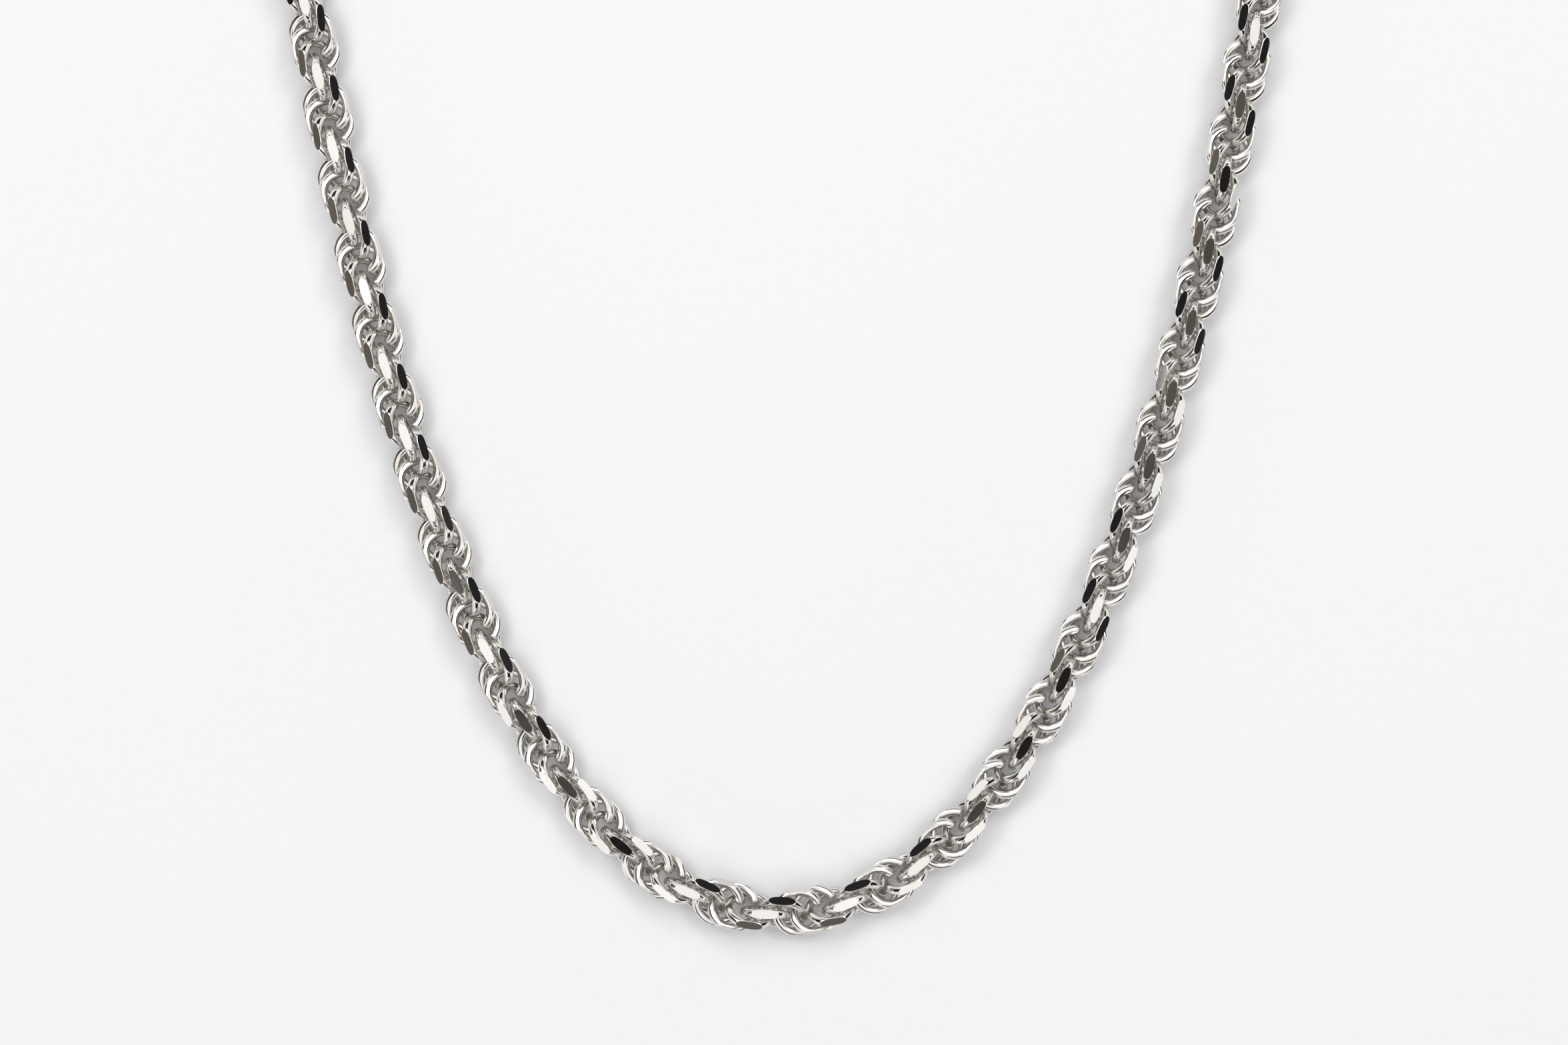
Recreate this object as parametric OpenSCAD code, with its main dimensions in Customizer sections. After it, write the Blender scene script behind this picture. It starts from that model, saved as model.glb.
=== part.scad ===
// Diamond cut rope chain necklace, unclasped and laid out flat as an open U. Millimetres, Z up, floor at Z 0.
// Open links are threaded at a steady turn, so two strands of crowns wind left handed round the chain's axis,
// and a flat is cut across every crown. Sections of links hinge on one another in the plane of the U,
// and end rings, a jump ring, a lobster clasp and a catch ring finish it.

/* [Link] */
// Outer diameter of a link's ring before the flats are cut
link_od = 5.76; // [3:0.02:9]
// Wire diameter of a link
wire_d = 1; // [0.5:0.02:1.2]
// Depth of the flat cut across each crown
flat_cut = 0.38; // [0:0.01:0.45]
// Links in half a turn of the rope
links_per_half_turn = 5; // [5:1:7]
// Slope of a link's own plane against the strands, degrees
link_tilt = 3; // [0:0.5:5]
// Shift of a link's gap along its ring, degrees
gap_shift = 3; // [-6:0.5:6]
// Clearance each side of the wire that passes a link's gap
gap_clear = 0.18; // [0.1:0.01:0.4]

/* [Chain] */
// Links in each rigid section
links_per_section = 7; // [5:1:9]
// Radius of the bend at the bottom of the U
bend_r = 21.3; // [15:0.1:60]
// Extra link spacing where the chain is bent most
bend_give = 0.17; // [0:0.01:0.2]
// Links over which the extra spacing fades out
give_links = 27; // [5:1:60]

/* [Rings] */
// Wire diameter of the end rings and the jump ring
ring_wire_d = 1; // [0.6:0.05:1.4]
// Outer diameter of the end rings and the jump ring
ring_od = 5; // [4:0.1:8]
// Wire diameter of the catch ring
catch_wire_d = 1.2; // [0.8:0.05:1.6]
// Outer diameter of the catch ring
catch_od = 6.5; // [5:0.1:10]
// Straight part that makes each end link longer than the others
end_link_extra = 1.3; // [1:0.1:4]
// Free play between two rings that hang in one another
ring_play = 0.15; // [0.08:0.01:0.5]

/* [Clasp] */
// Length of the clasp from its eye to its nose
clasp_l = 15; // [12:0.1:25]
// Width of the clasp's claw
clasp_w = 8; // [7:0.1:12]
// Thickness of the clasp
clasp_t = 3.2; // [2.4:0.1:4.5]
// Width of the hook's arm
hook_w = 1.7; // [1.2:0.1:2.5]
// Wire diameter of the clasp's eye
eye_wire_d = 1.2; // [0.8:0.05:1.6]
// Outer diameter of the clasp's eye
eye_od = 4.3; // [3.8:0.1:6]
// Thickness of the trigger lever
lever_t = 1.3; // [0.8:0.1:2]
// Diameter of the trigger's pivot pin
pin_d = 0.9; // [0.6:0.05:1.2]
// Clearance between the trigger and the body
lever_clear = 0.12; // [0.08:0.01:0.25]
// Radial clearance of the trigger on its pin
pin_clear = 0.04; // [0.02:0.01:0.1]
// Wire diameter of the trigger's spring
spring_wire_d = 0.4; // [0.3:0.05:0.5]

/* [Hidden] */
$fn = 48;
ring_r = (link_od - wire_d) / 2;
chain_w = link_od - 2 * flat_cut;
turn = 180 / links_per_half_turn;
pitch = 2 * ring_r / 3;
gap_cross = abs(180 - 3 * turn);
gap_w = wire_d / sin(gap_cross) + wire_d / abs(tan(gap_cross)) + 2 * gap_clear;
gap_half = asin(gap_w / (2 * ring_r));
first_turn = -turn;
axis_z = chain_w / 2;
sections_each_side = 21;
half_section = floor(links_per_section / 2);
last_link = sections_each_side * links_per_section + links_per_section - 1 - half_section;
first_link = -sections_each_side * links_per_section - half_section;
soldered_links = 3;

// the rings beyond each end link share out the turn that is left to bring the last one flat
end_az = 90 - crown_az(last_link);
start_az = 90 - crown_az(first_link);
clasp_step = (floor_turn(end_az) + 180) / 3;
catch_half = floor_turn(start_az) / 2;
catch_step = catch_half < 45 ? catch_half + 90 : catch_half;
end_hook = ring_r + end_link_extra;
small_r = (ring_od - ring_wire_d) / 2;
catch_r = (catch_od - catch_wire_d) / 2;
eye_r = (eye_od - eye_wire_d) / 2;
end_ring_x = end_hook - (wire_d + ring_wire_d) / 2 - ring_play + small_r;
jump_x = end_ring_x + 2 * small_r - ring_wire_d - ring_play;
catch_x = end_ring_x + small_r - (ring_wire_d + catch_wire_d) / 2 - ring_play + catch_r;
eye_x = jump_x + small_r - (ring_wire_d + eye_wire_d) / 2 - ring_play + eye_r;

claw_r = clasp_w / 2;
claw_x = clasp_l - eye_od / 2 - claw_r;
claw_hole_r = claw_r - hook_w;
neck_w = 2.2;
shoulder_x = claw_x - 0.45 * claw_r;
shoulder_y = 0.87 * claw_r;
dome_r = 24;
dome_fn = 180;
dome_x = claw_x - 1.8;
pivot_a = 160;
pivot_r = claw_r - hook_w / 2;
pivot_x = claw_x + pivot_r * cos(pivot_a);
pivot_y = pivot_r * sin(pivot_a);
cheek_r = 1.35;
lever_root_r = 0.95;
lever_reach = claw_x + 0.62 * claw_r - pivot_x;
lever_w = hook_w - 0.3;
lever_open = 20;
tab_w = 0.9;
tab_l = 2.9;
tab_a = 72;
spring_bend_r = 0.62;
spring_x = pivot_x - lever_root_r - lever_clear - spring_wire_d;

// middle of the whole outline, which goes to the origin
last_s = arc_at(last_link);
first_s = arc_at(first_link);
mid_x = (out_x(last_s, eye_x + claw_x) + claw_r + out_x(first_s, -catch_x) - catch_od / 2) / 2;
mid_y = (out_y(last_s, eye_x + claw_x) + claw_r - chain_w / 2) / 2;

// turn of a link's crowns round the chain, degrees from straight up
function crown_az(k) = first_turn + k * (180 - turn);

// the smallest positive turn that brings a ring at azimuth a flat
function floor_turn(a) = a - 180 * floor(a / 180);

// a smooth step from -1 to 1
function fade(x) = 1 - 2 / (exp(2 * x) + 1);

// distance along the chain from the bottom of the U to link k
function arc_at(k) = pitch * k + bend_give * give_links * fade(k / give_links);

// the curve a hanging chain takes, by distance s along it from its lowest point
function curve_x(s) = bend_r * ln(s / bend_r + sqrt(1 + pow(s / bend_r, 2)));
function curve_y(s) = sqrt(s * s + bend_r * bend_r) - bend_r;
function curve_a(s) = atan(s / bend_r);

// where a point at distance d beyond the chain's curve, level with s, comes
function out_x(s, d) = curve_x(s) + d * cos(curve_a(s));
function out_y(s, d) = curve_y(s) + d * sin(curve_a(s));

// corners of a slice of a disc of radius r, from angle a0 to a1
function slice(r, a0, a1) = concat([[0, 0]], [for (i = [0 : 24]) r * [cos(a0 + (a1 - a0) * i / 24),
    sin(a0 + (a1 - a0) * i / 24)]]);

// puts children on the chain's axis at distance s, X along the chain and Z up
module on_curve(s) {
    translate([curve_x(s) - mid_x, curve_y(s) - mid_y, axis_z])
    rotate([0, 0, curve_a(s)])
    children();
}

// turns children, drawn with their plane upright along X, by azimuth a round the chain's axis
module leaned(a) {
    rotate([a, 0, 0])
    rotate([90, 0, 0])
    children();
}

// a ring of wire d and centre radius r in the XY plane, from angle a0 through span
module wire_ring(r, d, a0 = 0, span = 360) {
    rotate_extrude(angle = span, start = a0)
    translate([r, 0])
    circle(d = d);
}

// one open link in the XY plane, its gap towards +X
module link_ring() {
    wire_ring(ring_r, wire_d, gap_shift + gap_half, 360 - 2 * gap_half);
}

// keeps what lies between the two flats of a link
module between_flats() {
    intersection() {
        children();
        cube([2 * link_od, chain_w, 2 * link_od], center = true);
    }
}

// link number k in its place
module link_at(k) {
    on_curve(arc_at(k))
    leaned(crown_az(k))
    rotate([0, -link_tilt, 0])
    between_flats()
    if (k == last_link)
        long_link(1);
    else if (k == first_link)
        long_link(-1);
    else if (k > last_link - soldered_links)
        wire_ring(ring_r, wire_d);
    else
        link_ring();
}

// an end link, longer towards side: it keeps its gap only if that is at its other end
module long_link(side) {
    translate([side * end_link_extra, 0, 0])
    wire_ring(ring_r, wire_d, 90 - 180 * (side + 1) / 2, 180);
    for (y = [-1, 1])
        translate([min(0, side * end_link_extra), y * ring_r, 0])
        rotate([0, 90, 0])
        cylinder(d = wire_d, h = end_link_extra);
    if (side > 0)
        wire_ring(ring_r, wire_d, 90, 180);
    else {
        wire_ring(ring_r, wire_d, -90, 90 + gap_shift - gap_half);
        wire_ring(ring_r, wire_d, gap_shift + gap_half, 90 - gap_shift - gap_half);
    }
}

// section n of the chain, counted from the middle
module chain_section(n) {
    color("silver")
    for (i = [0 : links_per_section - 1])
        link_at(n * links_per_section - half_section + i);
}

// places children at distance x beyond the left or right end link, leaned by azimuth a
module beyond_left(x, a) {
    on_curve(first_s)
    translate([-x, 0, 0])
    leaned(a)
    children();
}

module beyond_right(x, a) {
    on_curve(last_s)
    translate([x, 0, 0])
    leaned(a)
    children();
}

module left_end_ring() {
    color("silver")
    beyond_left(end_ring_x, crown_az(first_link) + catch_step)
    wire_ring(small_r, ring_wire_d);
}

module catch_ring() {
    color("silver")
    beyond_left(catch_x, 90)
    wire_ring(catch_r, catch_wire_d);
}

module right_end_ring() {
    color("silver")
    beyond_right(end_ring_x, crown_az(last_link) + clasp_step)
    wire_ring(small_r, ring_wire_d);
}

module jump_ring() {
    color("silver")
    beyond_right(jump_x, crown_az(last_link) + 2 * clasp_step)
    wire_ring(small_r, ring_wire_d);
}

// places the clasp's pieces, X from the eye to the nose and Z up
module on_clasp() {
    on_curve(last_s)
    translate([eye_x, 0, 0])
    children();
}

// everything the trigger's plate can reach round its pivot
module trigger_sweep(r, spare) {
    translate([pivot_x, pivot_y])
    polygon(slice(r, -lever_open - 4 - spare, 121 + spare));
}

module clasp_outline() {
    difference() {
        union() {
            translate([claw_x, 0])
            circle(r = claw_r);
            polygon([[eye_r, -neck_w / 2], [shoulder_x, -shoulder_y],
                [shoulder_x, shoulder_y], [eye_r, neck_w / 2]]);
        }
        translate([claw_x, 0])
        circle(r = claw_hole_r);
        difference() {
            trigger_sweep(lever_reach + lever_clear, 4);
            translate([pivot_x, pivot_y])
            circle(r = cheek_r);
        }
    }
}

module clasp_body() {
    color("silver")
    on_clasp() {
        difference() {
            intersection() {
                linear_extrude(height = 2 * clasp_t, center = true)
                clasp_outline();
                translate([dome_x, 0, clasp_t / 2 - dome_r])
                sphere(r = dome_r, $fn = dome_fn);
                translate([dome_x, 0, dome_r - clasp_t / 2])
                sphere(r = dome_r, $fn = dome_fn);
            }
            linear_extrude(height = lever_t + 2 * lever_clear, center = true) {
                trigger_sweep(2 * cheek_r, 1);
                translate([pivot_x, pivot_y])
                circle(r = lever_root_r + lever_clear);
                translate([spring_x, pivot_y])
                circle(r = spring_bend_r + spring_wire_d);
            }
            translate([pivot_x, pivot_y, 0])
            cylinder(d = pin_d, h = 2 * clasp_t, center = true);
        }
        wire_ring(eye_r, eye_wire_d);
    }
}

module clasp_trigger() {
    color("gainsboro")
    on_clasp()
    difference() {
        linear_extrude(height = lever_t, center = true) {
            intersection() {
                difference() {
                    translate([claw_x, 0])
                    circle(r = claw_r - 0.1);
                    translate([claw_x, 0])
                    circle(r = claw_r - lever_w);
                }
                translate([claw_x, 0])
                polygon(slice(2 * claw_r, 10, pivot_a - 4));
                translate([pivot_x, pivot_y])
                circle(r = lever_reach);
            }
            translate([pivot_x, pivot_y])
            circle(r = lever_root_r);
            translate([pivot_x, pivot_y])
            rotate([0, 0, tab_a])
            translate([0, -tab_w / 2])
            square([tab_l, tab_w]);
            translate([pivot_x + tab_l * cos(tab_a), pivot_y + tab_l * sin(tab_a)])
            circle(d = tab_w);
        }
        translate([pivot_x, pivot_y, 0])
        cylinder(d = pin_d + 2 * pin_clear, h = 2 * lever_t, center = true);
    }
}

module clasp_pin() {
    color("darkgray")
    on_clasp()
    translate([pivot_x, pivot_y, 0])
    cylinder(d = pin_d, h = clasp_t - 0.3, center = true);
}

module clasp_spring() {
    color("dimgray")
    on_clasp()
    translate([spring_x, pivot_y, 0])
    wire_ring(spring_bend_r, spring_wire_d, 60, 240);
}

chain_section(0);  // chain_middle
chain_section(-1);  // chain_left_01
chain_section(-2);  // chain_left_02
chain_section(-3);  // chain_left_03
chain_section(-4);  // chain_left_04
chain_section(-5);  // chain_left_05
chain_section(-6);  // chain_left_06
chain_section(-7);  // chain_left_07
chain_section(-8);  // chain_left_08
chain_section(-9);  // chain_left_09
chain_section(-10);  // chain_left_10
chain_section(-11);  // chain_left_11
chain_section(-12);  // chain_left_12
chain_section(-13);  // chain_left_13
chain_section(-14);  // chain_left_14
chain_section(-15);  // chain_left_15
chain_section(-16);  // chain_left_16
chain_section(-17);  // chain_left_17
chain_section(-18);  // chain_left_18
chain_section(-19);  // chain_left_19
chain_section(-20);  // chain_left_20
chain_section(-21);  // chain_left_21
chain_section(1);  // chain_right_01
chain_section(2);  // chain_right_02
chain_section(3);  // chain_right_03
chain_section(4);  // chain_right_04
chain_section(5);  // chain_right_05
chain_section(6);  // chain_right_06
chain_section(7);  // chain_right_07
chain_section(8);  // chain_right_08
chain_section(9);  // chain_right_09
chain_section(10);  // chain_right_10
chain_section(11);  // chain_right_11
chain_section(12);  // chain_right_12
chain_section(13);  // chain_right_13
chain_section(14);  // chain_right_14
chain_section(15);  // chain_right_15
chain_section(16);  // chain_right_16
chain_section(17);  // chain_right_17
chain_section(18);  // chain_right_18
chain_section(19);  // chain_right_19
chain_section(20);  // chain_right_20
chain_section(21);  // chain_right_21
left_end_ring();
catch_ring();
right_end_ring();
jump_ring();
clasp_body();
clasp_trigger();
clasp_pin();
clasp_spring();
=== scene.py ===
"""Diamond cut rope chain necklace in polished white metal, lying open on a pale surface.

The chain follows the curve of a hanging chain. Open wire links are threaded at a steady turn round it, so
two strands of crowns wind left handed, and a flat is cut across every crown. End rings, a catch ring, a jump
ring and a lobster clasp finish it. Lengths are in metres and angles in degrees unless a name says otherwise.
"""

import logging
import math
from collections.abc import Sequence
from dataclasses import dataclass, field, replace
from enum import Enum
from functools import partial

import bpy
import numpy as np
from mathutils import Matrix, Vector
from mathutils.geometry import delaunay_2d_cdt


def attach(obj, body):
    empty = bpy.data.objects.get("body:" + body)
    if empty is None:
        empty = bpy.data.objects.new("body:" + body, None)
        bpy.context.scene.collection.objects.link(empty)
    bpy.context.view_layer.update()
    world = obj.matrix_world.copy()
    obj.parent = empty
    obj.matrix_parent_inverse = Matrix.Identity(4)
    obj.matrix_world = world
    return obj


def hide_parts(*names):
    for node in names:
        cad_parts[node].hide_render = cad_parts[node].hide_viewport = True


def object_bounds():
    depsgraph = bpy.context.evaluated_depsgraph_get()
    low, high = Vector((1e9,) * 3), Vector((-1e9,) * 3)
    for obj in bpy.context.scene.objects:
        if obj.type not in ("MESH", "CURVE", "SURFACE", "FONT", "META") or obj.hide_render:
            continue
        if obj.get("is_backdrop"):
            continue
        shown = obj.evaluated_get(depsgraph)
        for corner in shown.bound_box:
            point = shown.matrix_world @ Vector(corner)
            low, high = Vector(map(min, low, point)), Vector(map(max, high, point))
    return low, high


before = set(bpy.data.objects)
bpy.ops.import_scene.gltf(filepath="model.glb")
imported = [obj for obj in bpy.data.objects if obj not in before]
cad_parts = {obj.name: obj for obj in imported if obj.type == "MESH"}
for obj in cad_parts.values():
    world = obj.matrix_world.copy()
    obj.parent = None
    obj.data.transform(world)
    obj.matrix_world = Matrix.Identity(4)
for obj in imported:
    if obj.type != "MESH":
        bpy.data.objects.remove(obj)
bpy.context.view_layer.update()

LOG = logging.getLogger("necklace")
MM = 0.001


class FinishName(Enum):
    """Every finish that the necklace and its surroundings use."""

    CHAIN = "rhodium plated silver, diamond cut"
    RING = "rhodium plated silver, polished wire"
    CLASP = "rhodium plated silver, polished casting"
    STEEL = "drawn spring steel"
    PAPER = "matt white paper sweep"
    CARD = "matt black card"
    GREY_CARD = "matt grey card"


@dataclass(frozen=True)
class LinkSize:
    """A link of the rope, as it is bent, cut and threaded."""

    outer: float = 5.76 * MM
    wire: float = 1.0 * MM
    cut: float = 0.38 * MM
    links_per_half_turn: int = 5
    tilt: float = 3.0
    gap_shift: float = 3.0
    gap_clear: float = 0.18 * MM

    @property
    def ring_r(self) -> float:
        """Radius of the wire's centre line."""
        return (self.outer - self.wire) / 2

    @property
    def flat_at(self) -> float:
        """Distance of each flat from the chain's axis."""
        return self.outer / 2 - self.cut

    @property
    def turn(self) -> float:
        """Turn of the strands from one link to the next."""
        return 180 / self.links_per_half_turn

    @property
    def pitch(self) -> float:
        """Spacing that lets a link's end pass the gap of the third link before it."""
        return 2 * self.ring_r / 3

    @property
    def gap_half(self) -> float:
        """Half of the arc that a link leaves open."""
        cross = math.radians(180 - 3 * self.turn)
        gap = self.wire / math.sin(cross) + self.wire / math.tan(cross) + 2 * self.gap_clear
        return math.degrees(math.asin(gap / (2 * self.ring_r)))


@dataclass(frozen=True)
class ChainSize:
    """The whole chain: its sections, its bend and how its spacing gives where it is bent."""

    links_per_section: int = 7
    sections_each_side: int = 21
    bend_r: float = 21.3 * MM
    give: float = 0.17 * MM
    give_links: float = 27.0
    end_extra: float = 1.3 * MM
    soldered_links: int = 3

    @property
    def half_section(self) -> int:
        """Links from a section's first to its middle one."""
        return self.links_per_section // 2

    @property
    def last_link(self) -> int:
        """Number of the right end link. The left one is its negative."""
        return self.sections_each_side * self.links_per_section + self.half_section


@dataclass(frozen=True)
class RingSize:
    """Wire rings that join the chain's ends to the clasp and close it."""

    wire: float = 1.0 * MM
    outer: float = 5.0 * MM
    catch_wire: float = 1.2 * MM
    catch_outer: float = 6.5 * MM
    play: float = 0.15 * MM

    @property
    def r(self) -> float:
        """Centre radius of an end ring."""
        return (self.outer - self.wire) / 2

    @property
    def catch_r(self) -> float:
        """Centre radius of the catch ring."""
        return (self.catch_outer - self.catch_wire) / 2


@dataclass(frozen=True)
class ClaspSize:
    """The lobster clasp, from the centre of its eye to its nose."""

    length: float = 15.0 * MM
    width: float = 8.0 * MM
    thick: float = 3.2 * MM
    hook_w: float = 1.7 * MM
    eye_wire: float = 1.2 * MM
    eye_outer: float = 4.3 * MM
    lever_t: float = 1.3 * MM
    pin_d: float = 0.9 * MM
    pivot_a: float = 160.0
    dome_r: float = 24.0 * MM

    @property
    def eye_r(self) -> float:
        """Centre radius of the eye."""
        return (self.eye_outer - self.eye_wire) / 2

    @property
    def claw_r(self) -> float:
        """Outer radius of the claw."""
        return self.width / 2

    @property
    def claw_x(self) -> float:
        """Distance of the claw's centre from the eye's."""
        return self.length - self.eye_outer / 2 - self.claw_r

    @property
    def dome_x(self) -> float:
        """Distance of the domed sides' highest point from the eye's centre."""
        return self.claw_x - 1.8 * MM

    @property
    def pivot(self) -> tuple[float, float]:
        """Where the lever turns."""
        r, a = self.claw_r - self.hook_w / 2, math.radians(self.pivot_a)
        return self.claw_x + r * math.cos(a), r * math.sin(a)


LINK = LinkSize()
CHAIN = ChainSize()
RING = RingSize()
CLASP = ClaspSize()


def turned(points: np.ndarray, axis: str, degrees: float) -> np.ndarray:
    """Turns points about a world axis through the origin.

    Args:
        points: Array of shape (n, 3).
        axis: "x", "y" or "z".
        degrees: Turn by the right-hand rule.

    Returns:
        The turned points.
    """
    c, s = math.cos(math.radians(degrees)), math.sin(math.radians(degrees))
    rows = {
        "x": [[1, 0, 0], [0, c, -s], [0, s, c]],
        "y": [[c, 0, s], [0, 1, 0], [-s, 0, c]],
        "z": [[c, -s, 0], [s, c, 0], [0, 0, 1]],
    }[axis]
    return points @ np.array(rows).T


@dataclass(frozen=True)
class Route:
    """The chain's centre line, y = sqrt(s^2 + r^2) - r at distance s, moved to centre the outline."""

    centre: tuple[float, float]

    def arc_at(self, link: float) -> float:
        """Distance along the chain from the bottom of the U to a link.

        Args:
            link: Number of the link, negative to the left.

        Returns:
            The distance, with the extra spacing that the bend gives fading out as a hyperbolic tangent.
        """
        fade = math.tanh(link / CHAIN.give_links)
        return LINK.pitch * link + CHAIN.give * CHAIN.give_links * fade

    @staticmethod
    def shape(s: float) -> tuple[float, float, float]:
        """Place and direction at distance s along the curve, before it is centred."""
        r = CHAIN.bend_r
        return r * math.asinh(s / r), math.hypot(s, r) - r, math.degrees(math.atan(s / r))

    def placed(self, points: np.ndarray, s: float, ahead: float = 0.0) -> np.ndarray:
        """Moves points, drawn with X along the chain and Z up, onto the chain's axis.

        Args:
            points: Array of shape (n, 3).
            s: Distance along the curve.
            ahead: Straight distance beyond that place.

        Returns:
            The points in the row frame.
        """
        x, y, a = self.shape(s)
        moved = turned(points + np.array([ahead, 0, 0]), "z", a)
        return moved + np.array([x - self.centre[0], y - self.centre[1], LINK.flat_at])


def crown_az(link: int) -> float:
    """Turn of a link's crowns round the chain from straight up."""
    return -LINK.turn + link * (180 - LINK.turn)


def leaned(points: np.ndarray, azimuth: float) -> np.ndarray:
    """Stands a ring drawn in the XY plane upright along X, then turns it round the chain's axis."""
    return turned(turned(points, "x", 90), "x", azimuth)


@dataclass
class Shape:
    """A mesh in the making.

    Attributes:
        points: Corners, shape (n, 3).
        faces: Corner numbers of each face.
        flat: True for each face that is cut flat, which is shaded by itself.
        uv: Distance along and round the wire in millimetres, for each corner of each face in turn.
        solder: For each point, 1 at a soldered end and 0 away from it.
        tone: A number from 0 to 1 that sets this piece apart from its neighbours.
    """

    points: np.ndarray
    faces: list[tuple[int, ...]]
    flat: list[bool]
    uv: np.ndarray
    solder: np.ndarray
    tone: float = 0.5

    def moved(self, points: np.ndarray) -> "Shape":
        """The same shape with its points moved."""
        return replace(self, points=points)


@dataclass(frozen=True)
class WirePath:
    """A plane centre line of a bent wire.

    Attributes:
        centres: Points of the centre line, shape (n, 2).
        outward: Unit vectors square to the wire in its plane, shape (n, 2).
        closed: True if the wire's ends meet.
    """

    centres: np.ndarray
    outward: np.ndarray
    closed: bool

    @property
    def lengths(self) -> np.ndarray:
        """Distance along the centre line of each point."""
        steps = np.linalg.norm(np.diff(self.centres, axis=0), axis=1)
        return np.concatenate([[0.0], np.cumsum(steps)])


def arc_path(r: float, start: float, span: float, count: int, centre_x: float = 0.0) -> WirePath:
    """An arc of a circle, with its ends free unless it goes all the way round."""
    closed = span >= 360
    a = np.radians(start + span * np.arange(count) / (count if closed else count - 1))
    out = np.stack([np.cos(a), np.sin(a)], axis=1)
    return WirePath(out * r + np.array([centre_x, 0]), out, closed)


def join_paths(parts: Sequence[WirePath], closed: bool) -> WirePath:
    """Paths one after another as one."""
    return WirePath(
        np.concatenate([p.centres for p in parts]), np.concatenate([p.outward for p in parts]), closed
    )


@dataclass(frozen=True)
class Cut:
    """A plane that takes off all of the wire beyond it."""

    normal: np.ndarray
    offset: float


@dataclass(frozen=True)
class WireLook:
    """How finely a wire is meshed, and how its free ends look.

    Attributes:
        stations: Rings of points along the wire, before those that the cuts add.
        sides: Points round the wire.
        end_grip: Distance over which a soldered end stays rough.
        end_swell: Share by which solder thickens the wire's end.
        chamfer: Share of the radius that a free end is bevelled by.
    """

    stations: int
    sides: int
    end_grip: float = 0.0
    end_swell: float = 0.0
    chamfer: float = 0.22


def cut_arc(path: WirePath, r: float, cut: Cut) -> tuple[np.ndarray, np.ndarray]:
    """Finds how much of the wire's section a plane takes off, all along a path.

    A point of the wire is at C + r (cos(p) E + sin(p) Z). It lies beyond the plane n.x = d where
    cos(p - p0) > (d - n.C) / (r A), with A and p0 the size and angle of (n.E, n.Z).

    Args:
        path: The wire's centre line.
        r: The wire's radius.
        cut: The plane.

    Returns:
        Half of the angle that is cut off and the angle of its middle, in radians, for each point.
    """
    across = path.outward @ cut.normal[:2]
    size = np.hypot(across, cut.normal[2])
    share = (cut.offset - path.centres @ cut.normal[:2]) / (r * size)
    half = np.arccos(np.clip(share, -1, 1))
    middle = np.arctan2(cut.normal[2], across)
    half[across <= 0] = 0
    return half, np.where(half > 0, middle, 0.0)


def pick_stations(count: int, total: int, half: np.ndarray, closed: bool) -> np.ndarray:
    """Chooses which points of a fine path get a ring of points: even ones, and closer ones at a flat's ends.

    Args:
        count: Even stations along the path.
        total: Points in the fine path.
        half: Half of the cut angle at each point, 0 where the wire is whole.
        closed: True if the path has no ends.

    Returns:
        Sorted indices.
    """
    even = np.round(np.linspace(0, total - 1, count + 1)).astype(int)
    if closed:
        even = even[:-1]
    inside = half > 0
    starts = np.where(inside[1:] & ~inside[:-1])[0]
    ends = np.where(~inside[1:] & inside[:-1])[0] + 1
    keep = [i for i in even if not inside[i]]
    clear = max(2, total // (3 * count))
    for a, b in zip(starts, ends):
        keep = [i for i in keep if i < a - clear or i > b + clear]
        swing = (1 - np.cos(np.linspace(0, math.pi, 2 * max(6, count * (b - a) // total) + 1))) / 2
        keep += list(np.unique(np.round(a + (b - a) * swing).astype(int)))
    ends_kept = [] if closed else [0, total - 1]
    return np.unique(np.array(keep + ends_kept))


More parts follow.
